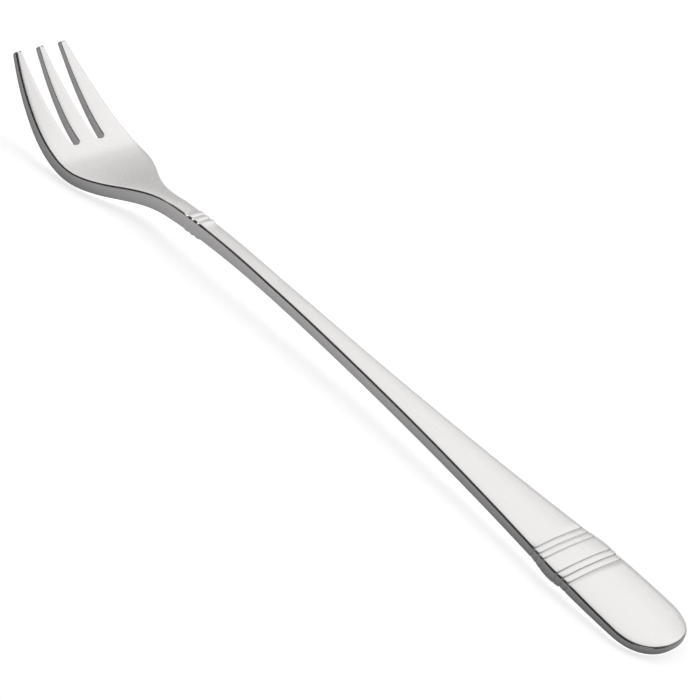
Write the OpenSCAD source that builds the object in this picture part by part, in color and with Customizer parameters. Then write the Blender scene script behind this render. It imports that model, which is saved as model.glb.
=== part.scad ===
// Oyster fork, stamped from one flat blank of stainless steel.
// X runs from the end of the grip to the tips of the tines, +Y is the fork's left, +Z is up.
// The fork rests on the flat under its grip and on the belly of its palm, both at Z = 0, and the
// origin lies under the middle of its length.
// The blank is described flat: u is the distance along it, and the underside is then bent.

/* [Grip] */
// Length of the grip, from its rounded end to the first groove
grip_l = 15.7; // [12:0.1:24]
// Widest width of the grip
grip_w = 12.4; // [9:0.1:16]
// Length over which the rounded end closes
nose_l = 6.5; // [3:0.1:8]
// Thickness of the grip in its middle, at the grooves
grip_t = 2.05; // [1.8:0.05:2.8]
// Thickness of the grip in its middle, at its rounded end
nose_t = 1.6; // [1.5:0.05:2.6]
// Rise of the top face from its edges to its middle
crown_h = 0.35; // [0.2:0.05:0.6]
// Radius of the top edge of the grip
grip_top_r = 0.3; // [0.2:0.05:0.6]
// Radius of the bottom edge of the grip
grip_bottom_r = 0.45; // [0.2:0.05:0.5]
// Length of the flat under the grip
land_l = 3; // [2:0.1:11]

/* [Bands] */
// Number of grooves in each of the two bands
groove_count = 3; // [1:1:4]
// Distance from groove to groove
groove_pitch = 1.12; // [0.8:0.02:1.5]
// Width of a groove
groove_w = 0.3; // [0.2:0.02:0.6]
// Depth of a groove
groove_d = 0.09; // [0.05:0.01:0.25]
// Length of the smooth swell between the bands
swell_l = 2.7; // [1.5:0.1:5]
// Height of the swell above the handle, at the sides and on the bottom
swell_h = 0.24; // [0.05:0.01:0.4]
// Length by which the swell runs on under the grooves beside the grip
swell_reach = 1.4; // [0:0.1:2.5]
// Length by which the swell runs on under the grooves beside the handle
swell_lead = 2; // [0:0.1:2.5]
// Width of the handle at the last groove
band_w = 10.5; // [8:0.1:12]

/* [Handle] */
// Length of the tapering handle, from the last groove to the collar
handle_l = 77.8; // [60:0.1:110]
// Narrowest width of the handle, at the collar
stem_w = 2.95; // [2.6:0.05:4]
// Thickness of the handle in the middle of its length
stem_t = 2.1; // [1.6:0.05:2.6]
// Radius of the edges of the stem
stem_edge_r = 0.32; // [0.2:0.02:0.5]
// Shape of the handle's taper, 1 for straight sides
taper_power = 2.3; // [1.4:0.1:3]

/* [Collar] */
// Number of raised rings round the neck
ring_count = 3; // [1:1:5]
// Length of one ring along the neck
ring_pitch = 1.23; // [0.8:0.01:1.6]
// Height of a ring above the neck
ring_h = 0.12; // [0.05:0.01:0.3]

/* [Neck] */
// Length of the neck, from the collar to the shoulders
neck_l = 3.5; // [2:0.1:8]
// Width of the neck
neck_w = 3.1; // [2.8:0.05:4.5]
// Thickness of the neck
neck_t = 2.7; // [2:0.05:3]

/* [Palm] */
// Length of the shoulders, from the neck to the widest place of the palm
shoulder_l = 19.8; // [14:0.1:28]
// Width of the palm at its widest
palm_w = 16; // [14:0.1:22]
// Length from the widest place of the palm to the roots of the slots
root_l = 2.9; // [2:0.1:6]
// Thickness of the palm
palm_t = 2.15; // [1.6:0.05:2.6]
// Radius of the edges of the palm and the tines
palm_edge_r = 0.28; // [0.1:0.02:0.4]

/* [Tines] */
// Length of the tines, from the roots of the slots to the tips
tine_l = 18.5; // [14:0.1:26]
// Width of a slot at its root
slot_w = 1.75; // [1.6:0.05:2.6]
// Width of the middle tine at its root
middle_w = 3.3; // [2.4:0.05:4]
// Width across the outer sides of the three tips
tips_w = 10.1; // [9:0.1:14]
// Width of the blunt tip of a tine
tip_w = 0.9; // [0.6:0.05:1.4]
// Radius of the bottom edges along the slots
slot_bottom_r = 0.48; // [0.1:0.02:0.5]
// Distance from the middle of the fork to the inner side of an outer tip
tip_inner_y = 4; // [3.4:0.02:4.2]
// Thickness of the tips
tip_t = 1.2; // [1:0.05:1.6]
// Length over which the underside of a tip is bevelled
tip_bevel_l = 0.3; // [0.2:0.05:0.8]

/* [Bends] */
// Length over which the handle starts to rise from the flat under the grip
rise_l = 1.4; // [1:0.1:14]
// Length over which the handle turns down to the neck
drop_l = 44.5; // [25:0.5:55]
// Steepest downward slope of the neck, in degrees
dip_angle = 12.2; // [6:0.1:18]
// Upward slope of the tips, in degrees
tip_angle = 43.4; // [30:0.1:50]

/* [Hidden] */

// Places along the blank, each measured from the end of the grip
band_l = (groove_count - 1) * groove_pitch + groove_w;
collar_l = ring_count * ring_pitch;
rear_band_at = grip_l;
swell_at = rear_band_at + band_l;
front_band_at = swell_at + swell_l;
handle_at = front_band_at + band_l;
collar_at = handle_at + handle_l;
neck_at = collar_at + collar_l;
shoulder_at = neck_at + neck_l;
widest_at = shoulder_at + shoulder_l;
root_at = widest_at + root_l;
tip_at = root_at + tine_l;

// Bends of the underside. The belly of the palm and the steepest place of the neck are shares
// of the shoulders' length, and the sweep up to the tips is a list of shares of its own length.
dip_at_share = 0.45;
belly_at_share = 0.88;
sweep_shares = [0, 0.3, 0.48, 1];
sweep_angle_shares = [0, 0.515, 0.72, 1];
dip_at = shoulder_at + dip_at_share * shoulder_l;
belly_at = shoulder_at + belly_at_share * shoulder_l;
drop_at = dip_at - drop_l;
sweep_l = tip_at - belly_at;

// The stretch of the handle that is as thick as the stem, and where the palm has thinned and flattened
stem_shares = [0.35, 0.8];
palm_share = 0.85;

// Height of the crown as a share of the width, and the shapes of the swell and the outline
crown_share = crown_h / grip_w;
tine_crown_share = 0.2;
swell_power = 0.8;
swell_top_share = 0.4;
nose_power = 2.43;
nose_end_power = 2.2;
tine_power = 1.7;
middle_power = 1.67;
slot_edge_r = palm_edge_r / 2;
root_edge_share = 0.4;
tip_corner_r = tip_w / 7;
tip_lift_share = 0.25;

// Fineness of the surface
nose_angles = [4, 10, 18, 27, 36, 46, 57, 68, 79, 90];
root_angles = [0, 20, 40, 60, 75, 90];
tip_angles = [30, 55, 70];
fillet_angles = [0, 30, 60, 90];
across_steps = 5;
grip_steps = 4;
swell_steps = 8;
handle_steps = 30;
ring_steps = 6;
neck_steps = 3;
shoulder_steps = 16;
root_steps = 3;
tine_steps = 10;
path_count = 600;
path_step = tip_at / path_count;

function mix(a, b, t) = a + (b - a) * t;
function clamp(t) = min(1, max(0, t));
function ease(t) = let (c = clamp(t)) c * c * c * (c * (6 * c - 15) + 10);
function span(u, from, length) = clamp((u - from) / length);

// Slope of the underside at u, when the handle rises at the angle rise
function slope(u, rise) =
    u < drop_at ? rise * span(u, land_l, rise_l) :
    u < dip_at ? rise - (rise + dip_angle) * pow(span(u, drop_at, drop_l), 2) :
    u < belly_at ? -dip_angle * (belly_at - u) / (belly_at - dip_at) :
    tip_angle * lookup((u - belly_at) / sweep_l, [
        for (i = [0 : len(sweep_shares) - 1]) [sweep_shares[i], sweep_angle_shares[i]]
    ]);

// The handle's rise is solved so that the palm comes back down to the table: the height of the
// belly follows the rise almost in a straight line, and a second pass takes up the rest.
function belly_z(rise) = path_step * sum([
    for (i = [0 : floor(belly_at / path_step) - 1]) sin(slope((i + 0.5) * path_step, rise))
]);
function sum(list) = list * [for (item = list) 1];
function solve(low, high) = low - belly_z(low) * (high - low) / (belly_z(high) - belly_z(low));
first_rise = solve(0, dip_angle);
rise_angle = solve(first_rise, first_rise + dip_angle / 100);

// The underside as a path of points, with a linear reading between them
path = [
    for (i = 0, x = 0, z = 0; i <= path_count;
        a = slope((i + 0.5) * path_step, rise_angle),
        x = x + path_step * cos(a), z = z + path_step * sin(a), i = i + 1)
    [x, z]
];
function path_at(u) =
    let (i = min(path_count - 1, floor(u / path_step))) mix(path[i], path[i + 1], u / path_step - i);
function bent(u, h) =
    let (a = slope(u, rise_angle), p = path_at(u)) [p.x - h * sin(a), p.y + h * cos(a)];

// Places along a tine: close together round the root of the slot and at the tip
tine_places = concat(
    [for (a = root_angles) root_at + slot_w / 2 * (1 - cos(a))],
    onward(root_at + slot_w / 2, tip_at - tip_bevel_l, tine_steps),
    [for (a = tip_angles) tip_at - tip_bevel_l * (1 - sin(a))]
);

// The tips reach furthest just behind their ends, where the bevel under them starts to lift. The
// origin lies under the middle of the whole length.
reach = max([
    for (u = tine_places)
        bent(u, tip_lift(u) + rounded(slot_edge_r, both_gaps(tip_at - u, slot_edge_r))).x
]);
function place(u, y, h) = let (p = bent(u, h)) [p.x - reach / 2, y, p.y];

// Half of the width of the blank at u
function nose_half(u) = grip_w / 2 * pow(1 - pow(1 - u / nose_l, nose_end_power), 1 / nose_power);
function handle_half(u) = mix(stem_w, band_w, pow(1 - span(u, handle_at, handle_l), taper_power)) / 2;
function half_width(u) =
    u < nose_l ? nose_half(u) :
    u < handle_at ? mix(grip_w, band_w, pow(span(u, nose_l, handle_at - nose_l), 2)) / 2 :
    u < collar_at ? handle_half(u) :
    u < shoulder_at ? mix(stem_w, neck_w, span(u, collar_at, shoulder_at - collar_at)) / 2 :
    u < widest_at ? mix(neck_w, palm_w, ease(span(u, shoulder_at, shoulder_l))) / 2 :
    mix(palm_w, tips_w, pow(span(u, widest_at, tip_at - widest_at), tine_power)) / 2;

// Thickness of the blank in its middle, with an even change between the named places
thickness_at = [
    [0, nose_t], [rear_band_at, grip_t], [handle_at, grip_t],
    for (share = stem_shares) [mix(handle_at, collar_at, share), stem_t],
    [shoulder_at, neck_t], [mix(shoulder_at, widest_at, palm_share), palm_t], [root_at, palm_t],
    [tip_at, tip_t]
];
function thickness(u) = lookup(u, thickness_at);
function crown(u) =
    2 * half_width(u) * crown_share
        * mix(1, tine_crown_share, ease(span(u, shoulder_at, palm_share * shoulder_l)));

// Radius of the top and bottom edges
function edge_r(u, grip_r) =
    u < handle_at ? grip_r :
    u < shoulder_at ? mix(grip_r, stem_edge_r, ease(span(u, handle_at, handle_l))) :
    mix(stem_edge_r, palm_edge_r, ease(span(u, shoulder_at, shoulder_l)));
function top_r(u) = edge_r(u, grip_top_r);
function bottom_r(u) = edge_r(u, grip_bottom_r);

// Relief that is cut into the blank or stands out of it: the grooves and rings are the same all
// round, and the swell stands less out of the top
function groove_cut(u, band_at) =
    let (v = u - band_at - groove_w / 2, near = clamp_to(round(v / groove_pitch), groove_count - 1))
    groove_d * max(0, 1 - abs(v - near * groove_pitch) / (groove_w / 2));
function clamp_to(i, last) = min(last, max(0, i));
function swell_rise(u) =
    let (share = span(u, swell_at - swell_reach, swell_reach + swell_l + swell_lead))
    swell_h * sin(180 * pow(share, swell_power));
function relief(u) =
    u > rear_band_at && u < swell_at ? -groove_cut(u, rear_band_at) :
    u > front_band_at && u < handle_at ? -groove_cut(u, front_band_at) :
    u > collar_at && u < neck_at ? ring_h * abs(sin(180 * (u - collar_at) / ring_pitch)) :
    0;

// Slots: the round root and the two sides that run to the tips
function root_round(d) = let (r = slot_w / 2) d >= r ? r : sqrt(r * r - (r - d) * (r - d));
function middle_half(u) =
    let (d = u - root_at, side = mix(middle_w, tip_w, pow(span(u, root_at, tine_l), middle_power)) / 2)
    side + slot_w / 2 - root_round(d);
function inner_y(u) =
    let (d = u - root_at, side = mix(middle_w / 2 + slot_w, tip_inner_y, span(u, root_at, tine_l)))
    side - slot_w / 2 + root_round(d);
function slot_growth(u) = mix(root_edge_share, 1, span(u, root_at, slot_w / 2));
function slot_side(u, y, w) =
    [y, slot_edge_r * slot_growth(u), min(slot_bottom_r, w / 3) * slot_growth(u)];

// Drop of a rounded edge of radius r at a place that lies gap inside the outline
function rounded(r, gap) = gap >= r ? 0 : r - sqrt(r * r - (r - gap) * (r - gap));
function both_gaps(along, across) =
    let (diagonal = norm([along, across])) diagonal > 0 ? along * across / diagonal : 0;

// Distance along the blank from the rounded end of the grip, or from the end of a tine
function nose_gap(u, y) =
    let (across = 1 - pow(min(1, abs(y) / (grip_w / 2)), nose_power))
    u > 2 * nose_l ? u : u - nose_l * (1 - pow(across, 1 / nose_end_power));
function end_gap(u, y) = u < root_at ? max(0, nose_gap(u, y)) : tip_at - u;
function tip_lift(u) =
    let (gap = tip_at - u) gap >= tip_bevel_l ? 0 : tip_t * tip_lift_share * pow(1 - gap / tip_bevel_l, 2);

// One point on the top or the bottom, which lies inset inside a side of the outline
function top_point(u, y, inset, r) =
    place(u, y, thickness(u) + relief(u) + swell_top_share * swell_rise(u)
        - crown(u) * pow(y / half_width(u), 2) - rounded(r, both_gaps(end_gap(u, y), inset)));
function bottom_point(u, y, inset, r) =
    place(u, y, tip_lift(u) - relief(u) - swell_rise(u)
        + rounded(r, both_gaps(end_gap(u, y), inset)));

// Cross-section at u between a left and a right side, each given as [y, top radius, bottom radius]
function section(u, left, right) =
    let (last = len(fillet_angles) - 1, share = [for (a = fillet_angles) 1 - sin(a)],
        from = left[0] - left[1], to = right[0] + right[1],
        bottom_from = right[0] + right[2], bottom_to = left[0] - left[2])
    concat(
        [for (k = [0 : last]) let (i = share[k] * left[2]) bottom_point(u, left[0] - i, i, left[2])],
        [for (k = [last : -1 : 0]) let (i = share[k] * left[1]) top_point(u, left[0] - i, i, left[1])],
        [
            for (k = [1 : across_steps - 1]) let (y = mix(from, to, k / across_steps))
                top_point(u, y, min(left[0] - y, y - right[0]), min(left[1], right[1]))
        ],
        [for (k = [0 : last]) let (i = share[k] * right[1]) top_point(u, right[0] + i, i, right[1])],
        [for (k = [last : -1 : 0]) let (i = share[k] * right[2]) bottom_point(u, right[0] + i, i, right[2])],
        [
            for (k = [1 : across_steps - 1]) let (y = mix(bottom_from, bottom_to, k / across_steps))
                bottom_point(u, y, min(left[0] - y, y - right[0]), min(left[2], right[2]))
        ]
    );
function whole_section(u) =
    let (y = half_width(u) + relief(u) + swell_rise(u))
    section(u, [y, top_r(u), bottom_r(u)], [-y, top_r(u), bottom_r(u)]);

// Solid through a list of cross-sections that all have as many points. An end is closed in strips
// that each join two neighbours on the bottom with the two above them.
module skin(sections) {
    count = len(sections[0]);
    rows = len(sections);
    side = len(fillet_angles);
    last_row = (rows - 1) * count;
    strips = [
        for (k = [0 : count / 2 - 2]) let (bottom = (side - 1 - k + count) % count)
            [bottom, side + k, side + k + 1, (bottom - 1 + count) % count]
    ];
    sides = [
        for (i = [0 : rows - 2], k = [0 : count - 1]) let (n = (k + 1) % count)
            [i * count + k, i * count + n, (i + 1) * count + n, (i + 1) * count + k]
    ];
    start_cap = [for (strip = strips) [strip[3], strip[2], strip[1], strip[0]]];
    end_cap = [for (strip = strips) [for (k = strip) last_row + k]];
    polyhedron(points = [for (s = sections, p = s) p], faces = concat(sides, start_cap, end_cap));
}

module stretch(places) {
    skin([for (u = places) whole_section(u)]);
}

// Evenly spaced places, the second list without its first
function even(from, to, count) = [for (i = [0 : count]) mix(from, to, i / count)];
function onward(from, to, count) = [for (i = [1 : count]) mix(from, to, i / count)];

// The places where the cross-section of a band changes: both edges and the floor of each groove,
// and the middle of the ridge between two grooves
function band_places(band_at) = [
    for (i = [0 : groove_count - 1], k = [0 : 3])
        if (k < 3 || i < groove_count - 1)
            band_at + i * groove_pitch + (k < 3 ? k * groove_w / 2 : (groove_w + groove_pitch) / 2)
];

// Rounded spoon-like end of the handle that the hand holds, with the flat that it rests on
module grip() {
    nose = [for (a = nose_angles) nose_l * (1 - cos(a))];
    color("silver") stretch(concat(nose, onward(nose_l, rear_band_at, grip_steps)));
}

// Three grooves on the side of the grip
module rear_band() {
    color("gainsboro") stretch(band_places(rear_band_at));
}

// Smooth half-round swell between the two bands
module swell() {
    color("silver") stretch(even(swell_at, front_band_at, swell_steps));
}

// Three grooves on the side of the handle
module front_band() {
    color("gainsboro") stretch(band_places(front_band_at));
}

// Long handle that tapers to the collar
module handle() {
    color("silver") stretch(even(handle_at, collar_at, handle_steps));
}

// Raised rings round the neck
module collar() {
    color("gainsboro") stretch(even(collar_at, neck_at, ring_steps * ring_count));
}

// Short neck between the collar and the shoulders
module neck() {
    color("silver") stretch(even(neck_at, shoulder_at, neck_steps));
}

// Shoulders and palm, as far as the roots of the slots
module palm() {
    color("silver")
        stretch(concat(even(shoulder_at, widest_at, shoulder_steps), onward(widest_at, root_at, root_steps)));
}

function tip_inset(u) = rounded(tip_corner_r, tip_at - u);

module outer_tine(side) {
    sections = [
        for (u = tine_places)
            let (out = half_width(u) - tip_inset(u), in = inner_y(u) + tip_inset(u), r = palm_edge_r)
            side > 0 ? section(u, [out, r, r], slot_side(u, in, out - in))
                : section(u, slot_side(u, -in, out - in), [-out, r, r])
    ];
    skin(sections);
}

// Tine on the fork's left
module left_tine() {
    color("silver") outer_tine(1);
}

// Narrow tine in the middle
module middle_tine() {
    sections = [
        for (u = tine_places)
            let (y = middle_half(u) - tip_inset(u))
            section(u, slot_side(u, y, 2 * y), slot_side(u, -y, 2 * y))
    ];
    color("gainsboro") skin(sections);
}

// Tine on the fork's right
module right_tine() {
    color("silver") outer_tine(-1);
}

grip();
rear_band();
swell();
front_band();
handle();
collar();
neck();
palm();
left_tine();
middle_tine();
right_tine();
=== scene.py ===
from math import cos, floor, hypot, pi, radians, sin, sqrt

import bmesh
import bpy
from mathutils import Matrix, Vector


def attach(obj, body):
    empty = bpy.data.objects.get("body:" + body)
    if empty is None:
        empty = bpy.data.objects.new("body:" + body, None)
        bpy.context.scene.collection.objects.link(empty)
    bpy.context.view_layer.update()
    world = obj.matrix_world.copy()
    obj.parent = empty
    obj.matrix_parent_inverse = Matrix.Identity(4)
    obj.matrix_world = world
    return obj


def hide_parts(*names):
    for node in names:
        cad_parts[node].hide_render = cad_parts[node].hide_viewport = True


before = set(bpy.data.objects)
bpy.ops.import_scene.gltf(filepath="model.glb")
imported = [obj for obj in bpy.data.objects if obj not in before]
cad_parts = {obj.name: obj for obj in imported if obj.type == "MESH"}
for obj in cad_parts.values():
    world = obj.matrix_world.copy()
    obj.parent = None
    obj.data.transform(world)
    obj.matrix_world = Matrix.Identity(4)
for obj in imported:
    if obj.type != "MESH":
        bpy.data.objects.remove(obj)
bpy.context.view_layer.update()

# Fork: one piece of 18/10 stainless steel. It is cut flat from sheet, struck between dies that raise
# its crown, its swell and its rings, pierced between the tines, bent, and polished to a satin.
# All sizes are in millimetres, and u is the distance along the flat blank from the end of the grip.
GRIP_L, GRIP_W, NOSE_L, GRIP_T, NOSE_T = 15.7, 12.4, 6.5, 2.05, 1.6
CROWN_H, GRIP_TOP_R, GRIP_BOTTOM_R, LAND_L = 0.35, 0.3, 0.45, 3.0
GROOVES, GROOVE_PITCH, GROOVE_W, GROOVE_D = 3, 1.12, 0.3, 0.12
SWELL_L, SWELL_H, SWELL_REACH, SWELL_LEAD, BAND_W = 2.7, 0.24, 1.4, 2.0, 10.5
SWELL_POWER, SWELL_TOP_SHARE = 0.8, 0.4
HANDLE_L, STEM_W, STEM_T, STEM_EDGE_R, TAPER_POWER = 77.8, 2.95, 2.1, 0.32, 2.3
RINGS, RING_PITCH, RING_H = 3, 1.23, 0.12
NECK_L, NECK_W, NECK_T = 3.5, 3.1, 2.7
SHOULDER_L, PALM_W, ROOT_L, PALM_T, PALM_EDGE_R = 19.8, 16.0, 2.9, 2.15, 0.28
TINE_L, SLOT_W, MIDDLE_W, TIPS_W, TIP_W = 18.5, 1.75, 3.3, 10.1, 0.9
SLOT_TOP_R, SLOT_BOTTOM_R, TIP_INNER_Y, TIP_T, TIP_BEVEL_L = 0.08, 0.48, 4.0, 1.2, 0.3
RISE_L, DROP_L, DIP_ANGLE, TIP_ANGLE = 1.4, 44.5, 12.2, 43.4
DIP_SHARE, BELLY_SHARE = 0.45, 0.88
SWEEP_SHARES, SWEEP_ANGLE_SHARES = (0, 0.3, 0.48, 1), (0, 0.515, 0.72, 1)
STEM_SHARES, PALM_SHARE, TINE_CROWN_SHARE = (0.35, 0.8), 0.85, 0.2
NOSE_POWER, NOSE_END_POWER, TINE_POWER, MIDDLE_POWER = 2.43, 2.2, 1.7, 1.67
TIP_CORNER_R, TIP_LIFT = TIP_W / 7, TIP_T / 4

BAND_L = (GROOVES - 1) * GROOVE_PITCH + GROOVE_W
rear_band_at = GRIP_L
swell_at = rear_band_at + BAND_L
front_band_at = swell_at + SWELL_L
handle_at = front_band_at + BAND_L
collar_at = handle_at + HANDLE_L
neck_at = collar_at + RINGS * RING_PITCH
shoulder_at = neck_at + NECK_L
widest_at = shoulder_at + SHOULDER_L
root_at = widest_at + ROOT_L
tip_at = root_at + TINE_L
slot_r = SLOT_W / 2
slot_y = MIDDLE_W / 2 + slot_r


def clamp(t):
    return min(1.0, max(0.0, t))


def mix(a, b, t):
    return a + (b - a) * t


def span(u, start, length):
    return clamp((u - start) / length)


def ease(t):
    return t * t * t * (t * (6 * t - 15) + 10)


def lookup(x, table):
    """The value at x in a table of (place, value), with an even change between the places."""
    for (x0, v0), (x1, v1) in zip(table, table[1:]):
        if x <= x1:
            return mix(v0, v1, clamp((x - x0) / (x1 - x0)))
    return table[-1][1]


# The bends: flat under the grip, a long low arch, a dip at the neck, and the sweep of the tines.
# The arch's slope is found so that the belly of the palm comes back down to the table.
dip_at = shoulder_at + DIP_SHARE * SHOULDER_L
belly_at = shoulder_at + BELLY_SHARE * SHOULDER_L
drop_at = dip_at - DROP_L
sweep = list(zip(SWEEP_SHARES, SWEEP_ANGLE_SHARES))
PATH_COUNT, RISE_TRIES, TINY = 600, 4, 1e-9
path_step = tip_at / PATH_COUNT


def slope(u, rise):
    if u < drop_at:
        return radians(rise * span(u, LAND_L, RISE_L))
    if u < dip_at:
        return radians(rise - (rise + DIP_ANGLE) * span(u, drop_at, DROP_L) ** 2)
    if u < belly_at:
        return radians(-DIP_ANGLE * (belly_at - u) / (belly_at - dip_at))
    return radians(TIP_ANGLE * lookup((u - belly_at) / (tip_at - belly_at), sweep))


def belly_z(rise):
    steps = range(floor(belly_at / path_step))
    return path_step * sum(sin(slope((i + 0.5) * path_step, rise)) for i in steps)


rises = [0.0, DIP_ANGLE]
for _ in range(RISE_TRIES):
    low, high = rises[-2:]
    low_z, high_z = belly_z(low), belly_z(high)
    if abs(high_z - low_z) > TINY:
        rises.append(low - low_z * (high - low) / (high_z - low_z))
rise = rises[-1]

path = [(0.0, 0.0)]
for i in range(PATH_COUNT):
    angle = slope((i + 0.5) * path_step, rise)
    path.append((path[-1][0] + path_step * cos(angle), path[-1][1] + path_step * sin(angle)))


def bent(u, h):
    """The place of a point that lies h above the underside of the blank at u."""
    i = min(PATH_COUNT - 1, floor(u / path_step))
    x, z = (mix(a, b, u / path_step - i) for a, b in zip(path[i], path[i + 1]))
    angle = slope(u, rise)
    return x - h * sin(angle), z + h * cos(angle)


# Width, thickness, crown and edge radii of the blank at u
def nose_half(u):
    return GRIP_W / 2 * max(0.0, 1 - (1 - u / NOSE_L) ** NOSE_END_POWER) ** (1 / NOSE_POWER)


def nose_u(share):
    """Where the rounded end is as wide as that share of the grip."""
    return NOSE_L * (1 - max(0.0, 1 - share ** NOSE_POWER) ** (1 / NOSE_END_POWER))


def half_width(u):
    if u < NOSE_L:
        return nose_half(u)
    if u < handle_at:
        return mix(GRIP_W, BAND_W, span(u, NOSE_L, handle_at - NOSE_L) ** 2) / 2
    if u < collar_at:
        return mix(STEM_W, BAND_W, (1 - span(u, handle_at, HANDLE_L)) ** TAPER_POWER) / 2
    if u < shoulder_at:
        return mix(STEM_W, NECK_W, span(u, collar_at, shoulder_at - collar_at)) / 2
    if u < widest_at:
        return mix(NECK_W, PALM_W, ease(span(u, shoulder_at, SHOULDER_L))) / 2
    return mix(PALM_W, TIPS_W, span(u, widest_at, tip_at - widest_at) ** TINE_POWER) / 2


thickness_at = [
    (0, NOSE_T), (rear_band_at, GRIP_T), (handle_at, GRIP_T),
    (handle_at + STEM_SHARES[0] * HANDLE_L, STEM_T),
    (handle_at + STEM_SHARES[1] * HANDLE_L, STEM_T), (shoulder_at, NECK_T),
    (mix(shoulder_at, widest_at, PALM_SHARE), PALM_T), (root_at, PALM_T), (tip_at, TIP_T),
]


def crown(u):
    flat = ease(span(u, shoulder_at, PALM_SHARE * SHOULDER_L))
    return 2 * half_width(u) * CROWN_H / GRIP_W * mix(1, TINE_CROWN_SHARE, flat)


def edge_r(u, top):
    if u < shoulder_at:
        grip_r = GRIP_TOP_R if top else GRIP_BOTTOM_R
        return mix(grip_r, STEM_EDGE_R, ease(span(u, handle_at, HANDLE_L)))
    return mix(STEM_EDGE_R, PALM_EDGE_R, ease(span(u, shoulder_at, SHOULDER_L)))


def groove_cut(v):
    """Depth of a band's grooves at v from its start: a round floor and a soft shoulder. They are
    0.03 mm deeper than in the solids, so that their lines show as clearly as on the real fork."""
    near = min(GROOVES - 1, max(0, round((v - GROOVE_W / 2) / GROOVE_PITCH)))
    off = abs(v - GROOVE_W / 2 - near * GROOVE_PITCH) / (GROOVE_W / 2)
    return GROOVE_D * (0.5 + 0.5 * cos(pi * min(1, off)))


def swell(u):
    """Height of the swell between the bands, which runs on under some of their grooves."""
    share = span(u, swell_at - SWELL_REACH, SWELL_REACH + SWELL_L + SWELL_LEAD)
    return SWELL_H * sin(pi * share ** SWELL_POWER)


def relief(u):
    if rear_band_at < u < swell_at:
        return -groove_cut(u - rear_band_at)
    if front_band_at < u < handle_at:
        return -groove_cut(u - front_band_at)
    if collar_at < u < neck_at:
        return RING_H * abs(sin(pi * (u - collar_at) / RING_PITCH))
    return 0.0


def worked_half(u):
    """Half the width, with the grooves, the swell and the rings that are struck into it."""
    return half_width(u) + relief(u) + swell(u)


# The blank starts as one flat grid whose squares are counted: rows along the fork, columns across.
# Across, from the middle: half of the middle tine, its edge, the slot, the outer tine's inner edge,
# the outer tine, and its outer edge. The rows lie closest in the grooves, the rings and the edges.
MIDDLE, EDGE, SLOT, TINE, RIM = 2, 5, 8, 4, 6
slot_in = MIDDLE + EDGE
slot_out = slot_in + SLOT
rim_at = slot_out + EDGE + TINE
SIDE = rim_at + RIM
slot_mid = (slot_in + slot_out) / 2
NOSE_ROWS, GRIP_ROWS, GROOVE_ROWS, BETWEEN_ROWS, SWELL_ROWS = 8, 10, 8, 3, 16
HANDLE_ROWS, RING_ROWS, NECK_ROWS, PALM_ROWS, TINE_ROWS = 64, 14, 6, 50, 44
ARC_ROWS, FADE_ROWS, FADE_STEP, ROOT_STEP = 5, 8, 0.36, 0.12
BEVEL_SHARES, TIP_TURNS = (0.75, 0.5), (75, 60, 45, 30, 15, 0)


def even(start, end, count):
    """count places up to end, without the first."""
    return [mix(start, end, (i + 1) / count) for i in range(count)]


def band_rows(start):
    places = []
    for i in range(GROOVES):
        at = start + i * GROOVE_PITCH
        places += even(at, at + GROOVE_W, GROOVE_ROWS)
        if i < GROOVES - 1:
            places += even(at + GROOVE_W, at + GROOVE_PITCH, BETWEEN_ROWS)
    return places


corner_u = root_at + slot_r * (1 - cos(pi / 4))
ring_u = [corner_u - ROOT_STEP * k for k in range(EDGE, 0, -1)]
fade_u = [ring_u[0] - FADE_STEP * k for k in range(FADE_ROWS, 0, -1)]
arc_u = [root_at + slot_r * (1 - cos(pi / 4 * (1 + k / ARC_ROWS))) for k in range(1, ARC_ROWS + 1)]
tip_gaps = [TIP_BEVEL_L * share for share in BEVEL_SHARES]
tip_gaps += [PALM_EDGE_R * (1 - cos(radians(turn))) for turn in TIP_TURNS]
rows = (
    [0.0] * (RIM + NOSE_ROWS) + [NOSE_L] + even(NOSE_L, rear_band_at, GRIP_ROWS)
    + band_rows(rear_band_at) + even(swell_at, front_band_at, SWELL_ROWS)
    + band_rows(front_band_at) + even(handle_at, collar_at, HANDLE_ROWS)
    + even(collar_at, neck_at, RING_ROWS * RINGS) + even(neck_at, shoulder_at, NECK_ROWS)
    + even(shoulder_at, fade_u[0], PALM_ROWS) + fade_u[1:] + ring_u + [corner_u] + arc_u
    + even(arc_u[-1], tip_at - TIP_BEVEL_L, TINE_ROWS) + [tip_at - gap for gap in tip_gaps]
)
ROWS = len(rows) - 1
root_row = rows.index(corner_u)
nose_row = RIM + NOSE_ROWS


def rounded(r, gap):
    """Drop of an edge of radius r at a place that lies gap inside the outline."""
    return 0.0 if gap >= r else r - sqrt(max(0.0, r * r - (r - gap) ** 2))


def inset(k, count, r):
    """Distance from the outline to ring k: ring 0 is the outline, and ring count is r inside."""
    return r * (1 - cos(pi / 2 * k / count))


def side_y(u):
    """How far the middle tine and the inner side of an outer tine move as the slot widens."""
    t = span(u, root_at, TINE_L)
    return (TIP_W - MIDDLE_W) / 2 * t ** MIDDLE_POWER, (TIP_INNER_Y - slot_y - slot_r) * t


def slot_edge_r(u, top):
    if top:
        return SLOT_TOP_R
    middle, outer = side_y(u)
    width = min(MIDDLE_W + 2 * middle, half_width(u) - slot_y - slot_r - outer)
    return min(SLOT_BOTTOM_R, width / 3)


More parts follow.
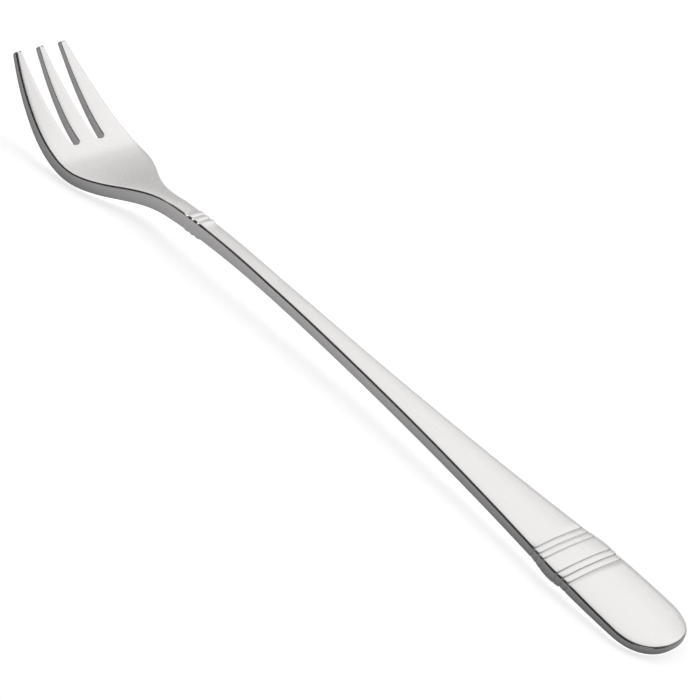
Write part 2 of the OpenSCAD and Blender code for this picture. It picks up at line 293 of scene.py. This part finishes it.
def by_slot(row, column, top):
    """(u, y, ring) of a place on the rim of a slot or in its edge: rings run round the slot's end,
    up to 45 degrees from its middle along the row, and from there along the tines."""
    behind = root_row - row
    beside = max(slot_in - column, column - slot_out, 0)
    ring = max(behind, beside)
    outward = 1 if column > slot_mid else -1
    if ring > EDGE or (beside == 0 and behind < 0 and slot_in < column < slot_out):
        return None
    r = slot_edge_r(rows[row], top)
    tip_inset = rounded(TIP_CORNER_R, tip_at - rows[row])
    if -behind > ARC_ROWS:
        shift = side_y(rows[row])[outward > 0]
        reach = slot_r + inset(ring, EDGE, r) + tip_inset
        return rows[row], slot_y + shift + outward * reach, ring
    if behind >= beside:
        turn = 45 * (column - slot_mid) / (SLOT / 2 + ring)
    else:
        turn = outward * (45 + 45 * (beside - behind) / (beside + ARC_ROWS))
    reach = slot_r + inset(ring, EDGE, r)
    u = root_at + slot_r - reach * cos(radians(turn))
    return u, slot_y + side_y(u)[outward > 0] + reach * sin(radians(turn)), ring


def slot_places(row, top):
    """(u, y) of the columns from the middle of the fork to the outer rim, at a row by the slots."""
    rim_r = edge_r(rows[row], top)
    tip_inset = rounded(TIP_CORNER_R, tip_at - rows[row])
    rim = (rows[row], half_width(rows[row]) - tip_inset - rim_r)
    found = {column: by_slot(row, column, top) for column in range(MIDDLE, slot_out + EDGE + 1)}
    inner, outer = found[MIDDLE], found[slot_out + EDGE]
    places = {column: (inner[0], inner[1] * column / MIDDLE) for column in range(MIDDLE)}
    places.update({column: place[:2] for column, place in found.items() if place})
    for k in range(1, TINE + 1):
        column = slot_out + EDGE + k
        places[column] = tuple(mix(a, b, k / TINE) for a, b in zip(outer, rim))
    return places


# Each column's share of the width between the rims, as the first ring round the slots' ends sets it
first_ring = slot_places(root_row - EDGE, True)
shares = {column: y / first_ring[rim_at][1] for column, (u, y) in first_ring.items()}
ring_places = {top: slot_places(root_row - EDGE, top) for top in (True, False)}

# The rounded end of the grip: rings of the grid follow the outline round it. Past the corner, where
# the side meets the end, a ring runs back along the side.
CORNER_SHARE, RIM_STEP = 0.78, 0.04


def nose_place(row, column, top):
    """(u, y, gap) near the grip's end, where gap is the distance inside the outline."""
    k = min(row, SIDE - column, RIM)
    across = shares[column] if column <= rim_at else 1 + RIM_STEP * (column - rim_at)
    along = (nose_row - row) / NOSE_ROWS if row >= RIM else 1 + RIM_STEP * (RIM - row)
    m = max(across, along) if k == RIM else 1.0
    top_across = 1 + RIM_STEP * (RIM - k) if k < RIM else m
    if along >= across:
        y = GRIP_W / 2 * CORNER_SHARE * across / top_across
        u = nose_u(2 * y / GRIP_W)
    else:
        u = NOSE_L - (NOSE_L - nose_u(CORNER_SHARE)) * along / top_across
        y = nose_half(u)
    out_u = -NOSE_END_POWER * (1 - u / NOSE_L) ** (NOSE_END_POWER - 1) / NOSE_L
    out_y = NOSE_POWER * (2 * y / GRIP_W) ** (NOSE_POWER - 1) * 2 / GRIP_W
    length = hypot(out_u, out_y)
    gap = inset(k, RIM, edge_r(u, top))
    u -= out_u / length * gap
    y -= out_y / length * gap
    return mix(NOSE_L, u, m), y * m, gap


def flat_place(row, column, top):
    """(u, y, gap, edge radius) of a place on the flat blank, for a column on the fork's left."""
    u = rows[row]
    r = edge_r(u, top)
    if row < nose_row:
        return nose_place(row, column, top) + (r,)
    k = SIDE - column
    if k < RIM:
        gap = inset(k, RIM, r)
        return u, worked_half(u) - rounded(TIP_CORNER_R, tip_at - u) - gap, gap, r
    if row >= root_row - EDGE:
        u, y = slot_places(row, top)[column]
        on_slot = by_slot(row, column, top)
        if on_slot:
            r = slot_edge_r(rows[row], top)
            return u, y, inset(on_slot[2], EDGE, r), r
        return u, y, r, r
    rim = worked_half(u) - r
    fade = span(row, root_row - EDGE - FADE_ROWS, FADE_ROWS)
    ring = ring_places[top][column]
    ring_rim = ring_places[top][rim_at]
    bump_u = (ring[0] - ring_rim[0]) * fade
    bump_y = (ring[1] - shares[column] * ring_rim[1]) * fade
    return u + bump_u, shares[column] * rim + bump_y, r, r


# The part of an edge's roundness that still counts as side wall, and a distance beyond every edge
WALL_SHARE, FAR = 0.14, 1e3


def tip_lift(u):
    """How far the underside of a tine is bevelled up at its end."""
    return TIP_LIFT * max(0.0, 1 - (tip_at - u) / TIP_BEVEL_L) ** 2


def solid_place(row, column, top):
    """(u, y, height above the underside, whether on the side wall) of a place on either face."""
    u, y, gap, r = flat_place(row, abs(column), top)
    end_gap = tip_at - u if row > root_row else FAR
    if end_gap + gap > 0:
        gap = end_gap * gap / hypot(end_gap, gap)
    drop = rounded(r, gap)
    y = y if column >= 0 else -y
    if not top:
        return u, y, tip_lift(u) - relief(u) - swell(u) + drop, gap < WALL_SHARE * r
    half = half_width(u)
    bow = crown(u) * (y / half) ** 2 if half > 0 and y else 0.0
    top_h = lookup(u, thickness_at) + relief(u) + SWELL_TOP_SHARE * swell(u)
    return u, y, top_h - bow - drop, gap < WALL_SHARE * r


reach = max(bent(u, rounded(SLOT_TOP_R, tip_at - u) + tip_lift(u))[0] for u in rows[root_row:])

MM = 0.001
WALL = 3
blank = bmesh.new()
bmesh.ops.create_grid(blank, x_segments=ROWS, y_segments=2 * SIDE, size=0.5)
for vert in blank.verts:
    vert.co = (round((vert.co.x + 0.5) * ROWS), round(vert.co.y * 2 * SIDE), 0)
slots = []
for face in blank.faces:
    centre = face.calc_center_median()
    if centre.x > root_row and slot_in < abs(centre.y) < slot_out:
        slots.append(face)
bmesh.ops.delete(blank, geom=slots, context="FACES")
raised = bmesh.ops.extrude_face_region(blank, geom=blank.faces[:])
under = [item for item in raised["geom"] if isinstance(item, bmesh.types.BMVert)]
bmesh.ops.translate(blank, vec=(0, 0, -1), verts=under)
walls = [edge for edge in blank.edges if abs(edge.verts[0].co.z - edge.verts[1].co.z) > 0.5]
bmesh.ops.subdivide_edges(blank, edges=walls, cuts=WALL - 1, use_grid_fill=True)
painted_wall_shade = blank.verts.layers.float.new("painted_wall_shade")
# The side wall is coloured darker than the faces: painted shade for the shadowed table and the dim
# room that it mirrors. The painted shade is least where the handle is thin, and darker towards the
# wall's foot, nearest the fork's contact shadow on the table.
SLOT_PAINTED_SHADE, WALL_TOP_PAINTED_SHADE, WALL_FOOT_PAINTED_SHADE = 0.86, 0.94, 1.05
painted_wall_shade_along = [
    (0, 0.97), (handle_at, 0.94), (mix(handle_at, collar_at, 0.5), 0.7), (shoulder_at, 0.66),
    (mix(shoulder_at, widest_at, PALM_SHARE), 0.88), (tip_at, 0.96),
]
placed = {}
for vert in blank.verts:
    row, column, depth = round(vert.co.x), round(vert.co.y), -vert.co.z
    for top in (True, False):
        if (row, column, top) not in placed:
            placed[row, column, top] = solid_place(row, column, top)
    above, below = placed[row, column, True], placed[row, column, False]
    u, y, h, on_wall = (mix(a, b, depth) for a, b in zip(above, below))
    x, z = bent(u, h)
    vert.co = Vector((x - reach / 2, y, z)) * MM
    # Painted shade on the side wall, set by its place along the fork and its depth down the wall.
    shade_share = SLOT_PAINTED_SHADE if abs(column) < rim_at and row > nose_row else lookup(u, painted_wall_shade_along)
    vert[painted_wall_shade] = on_wall * min(1.0, shade_share * mix(WALL_TOP_PAINTED_SHADE, WALL_FOOT_PAINTED_SHADE, depth))
bmesh.ops.recalc_face_normals(blank, faces=blank.faces[:])
for face in blank.faces:
    face.smooth = True
mesh = bpy.data.meshes.new("fork")
blank.to_mesh(mesh)
blank.free()
fork = bpy.data.objects.new("fork", mesh)
bpy.context.collection.objects.link(fork)


def linear(colour):
    """An sRGB hex colour as linear light."""
    parts = [int(colour[i : i + 2], 16) / 255 for i in (1, 3, 5)]
    return [p / 12.92 if p <= 0.04045 else ((p + 0.055) / 1.055) ** 2.4 for p in parts] + [1]


def add(tree, kind, settings=None, **links):
    """A node with its settings and its links, each from (node, output)."""
    node = tree.nodes.new(kind)
    for name, value in (settings or {}).items():
        if name in node.inputs:
            node.inputs[name].default_value = value
        else:
            setattr(node, name, value)
    for name, (source, output) in links.items():
        tree.links.new(source.outputs[output], node.inputs[name.replace("_", " ")])
    return node


# Stainless steel, polished along its length with fine belts and then a soft wheel: a satin that
# blurs what it reflects, with hair-fine lines along the fork.
steel = bpy.data.materials.new("satin_polished_stainless_steel")
steel.use_nodes = True
tree = steel.node_tree
tree.nodes.clear()
place = add(tree, "ShaderNodeTexCoord")
GRAIN_L, GRAIN_W = 10, 0.16
stretch = add(
    tree, "ShaderNodeMapping", {"Scale": (1 / GRAIN_L, 1 / GRAIN_W, 1 / GRAIN_W)},
    Vector=(place, "Object")
)
grain = add(
    tree, "ShaderNodeTexNoise", {"Scale": 1 / MM, "Detail": 3.0, "Roughness": 0.6},
    Vector=(stretch, "Vector")
)
rough = add(
    tree, "ShaderNodeMapRange",
    {"From Min": 0.3, "From Max": 0.7, "To Min": 0.24, "To Max": 0.28}, Value=(grain, "Fac")
)
bump = add(tree, "ShaderNodeBump", {"Strength": 0.04, "Distance": 0.02 * MM}, Height=(grain, "Fac"))
# Painted shade: the side wall's colour is mixed towards a dark grey by its painted-shade attribute,
# standing in for the shadowed table it mirrors.
wall = add(tree, "ShaderNodeAttribute", {"attribute_name": "painted_wall_shade"})
colour = add(
    tree, "ShaderNodeMixRGB", {"Color1": linear("#DBD9D8"), "Color2": linear("#6D6C6D")},
    Fac=(wall, "Fac")
)
shade = add(
    tree, "ShaderNodeBsdfPrincipled", {"Metallic": 1.0},
    Base_Color=(colour, "Color"), Roughness=(rough, "Result"), Normal=(bump, "Normal")
)
add(tree, "ShaderNodeOutputMaterial", Surface=(shade, "BSDF"))
mesh.materials.append(steel)
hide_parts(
    "grip", "rear_band", "swell", "front_band", "handle", "collar",
    "neck", "palm", "left_tine", "middle_tine", "right_tine"
)
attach(fork, "root")

# Table: a plain white laminate top that takes the fork's soft shadow. Where the camera sees it, or
# sees it mirrored in the steel, it also glows as a lit white backdrop does.
TABLE_HALF, TABLE_WHITE = 4.0, 0.66
sheet = bmesh.new()
bmesh.ops.create_grid(sheet, x_segments=1, y_segments=1, size=TABLE_HALF)
table_mesh = bpy.data.meshes.new("table")
sheet.to_mesh(table_mesh)
sheet.free()
table = bpy.data.objects.new("table", table_mesh)
bpy.context.collection.objects.link(table)
laminate = bpy.data.materials.new("white_laminate")
laminate.use_nodes = True
tree = laminate.node_tree
tree.nodes.clear()
rays = add(tree, "ShaderNodeLightPath")


def combine(tree, operation, first, second):
    """A maths node of two values, each a number or (node, output), as (node, output)."""
    node = add(tree, "ShaderNodeMath", {"operation": operation})
    for socket, value in zip(node.inputs, (first, second)):
        if isinstance(value, tuple):
            tree.links.new(value[0].outputs[value[1]], socket)
        else:
            socket.default_value = value
    return node, 0


seen = (rays, "Is Camera Ray")
for kind in ("Is Glossy Ray", "Is Transmission Ray"):
    seen = combine(tree, "MAXIMUM", seen, (rays, kind))
shade = add(
    tree, "ShaderNodeBsdfPrincipled",
    {"Base Color": linear("#FDFDFD"), "Roughness": 0.9, "Specular IOR Level": 0.0,
     "Emission Color": (1, 1, 1, 1)},
    Emission_Strength=combine(tree, "MULTIPLY", seen, TABLE_WHITE)
)
add(tree, "ShaderNodeOutputMaterial", Surface=(shade, "BSDF"))
table_mesh.materials.append(laminate)

# Light: a dim room with soft lights behind the fork for its top faces to mirror, a card below them,
# and a small light past either end. Nothing hangs overhead or on the near side, so the upper edge of
# the side wall mirrors the dark room as a thin dark line. Places and sizes are in metres.
world = bpy.data.worlds.new("studio")
bpy.context.scene.world = world
world.use_nodes = True
tree = world.node_tree
tree.nodes.clear()
room = add(tree, "ShaderNodeBackground", {"Color": (1, 1, 1, 1), "Strength": 0.05})
add(tree, "ShaderNodeOutputWorld", Surface=(room, "Background"))


def softbox(name, at, size, radiance):
    """A soft light of that size in metres, facing the fork, as bright all over as radiance says."""
    data = bpy.data.lights.new(name, "AREA")
    data.shape = "RECTANGLE"
    data.size, data.size_y = size
    data.energy = radiance * size[0] * size[1] * pi
    lamp = bpy.data.objects.new(name, data)
    lamp.location = at
    lamp.rotation_euler = (-Vector(at)).to_track_quat("-Z", "Y").to_euler()
    bpy.context.collection.objects.link(lamp)


softbox("back_light", (0.25, -0.965, 1.05), (3.3, 0.96), 0.96)
softbox("key_light", (-0.04, -1.0, 1.02), (1.7, 0.98), 0.30)
softbox("back_card", (0.8, -1.33, 0.39), (2.6, 0.62), 0.66)
softbox("side_light", (1.3, 0.1, 0.5), (0.8, 0.8), 1.8)
softbox("grip_light", (-1.0, 0.65, 0.55), (1.1, 0.6), 1.0)

# Camera: at the photograph's place, found from the outline of the fork. The angles are in degrees,
# the lens in pixels of the picture and the eye in metres.
LENS_PX, FRAME_PX, SENSOR = 3002.0, 700.0, 36.0
AZIMUTH, ELEVATION, ROLL = 217.683, 34.233, 16.51
EYE = (-0.229, 0.29036, 0.25401)
data = bpy.data.cameras.new("camera")
data.sensor_width = SENSOR
data.lens = LENS_PX / FRAME_PX * SENSOR
data.clip_start = 0.01
camera = bpy.data.objects.new("camera", data)
turn, lift, roll = radians(AZIMUTH), radians(ELEVATION), radians(ROLL)
back = Vector((sin(turn) * cos(lift), -cos(turn) * cos(lift), sin(lift)))
right = Vector((cos(turn), sin(turn), 0))
up = back.cross(right)
across = right * cos(roll) + up * sin(roll)
upward = up * cos(roll) - right * sin(roll)
axes = Matrix((across, upward, back)).transposed()
camera.matrix_world = Matrix.Translation(EYE) @ axes.to_4x4()
bpy.context.collection.objects.link(camera)
bpy.context.scene.camera = camera
bpy.context.scene.view_settings.view_transform = "Standard"
